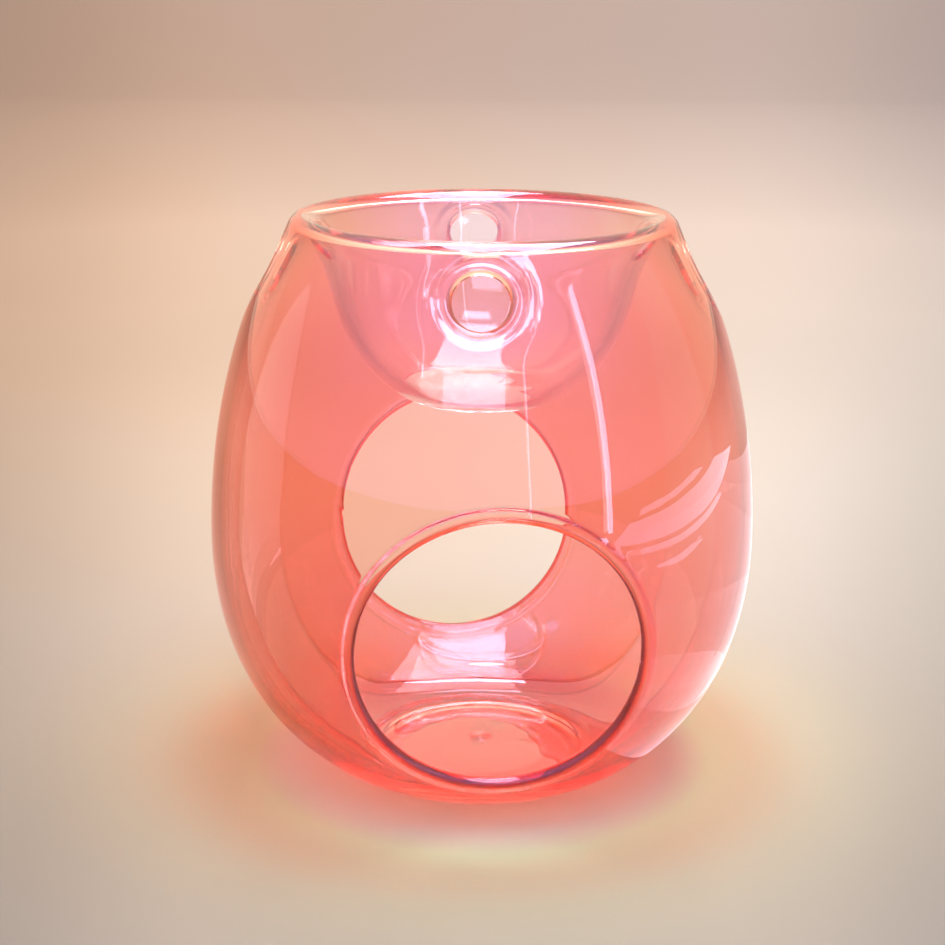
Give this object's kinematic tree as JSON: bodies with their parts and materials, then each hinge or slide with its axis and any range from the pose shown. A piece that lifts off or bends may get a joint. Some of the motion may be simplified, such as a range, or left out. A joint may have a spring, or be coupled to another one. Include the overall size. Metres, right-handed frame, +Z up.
{
  "type": "glass tealight wax burner",
  "caption": "Egg-shaped pink glass wax burner with a clear bowl fused inside its rim, round tealight openings front and rear, and small vents under the rim.",
  "frame": {"origin": "centre of the foot, on the surface that the burner stands on", "axes": "+Z up along the egg's axis; the front vent faces -Y, and the front tealight opening is turned 4.6 degrees from it"},
  "size_m": [0.108, 0.1059, 0.112],
  "materials": {
    "pink_glass": "clear glass with a translucent pink lustre coat on the outside, glossy",
    "clear_glass": "clear borosilicate glass, glossy"
  },
  "bodies": {
    "root": {"outer_shell": "pink_glass", "dish": "clear_glass"}
  },
  "joints": []
}
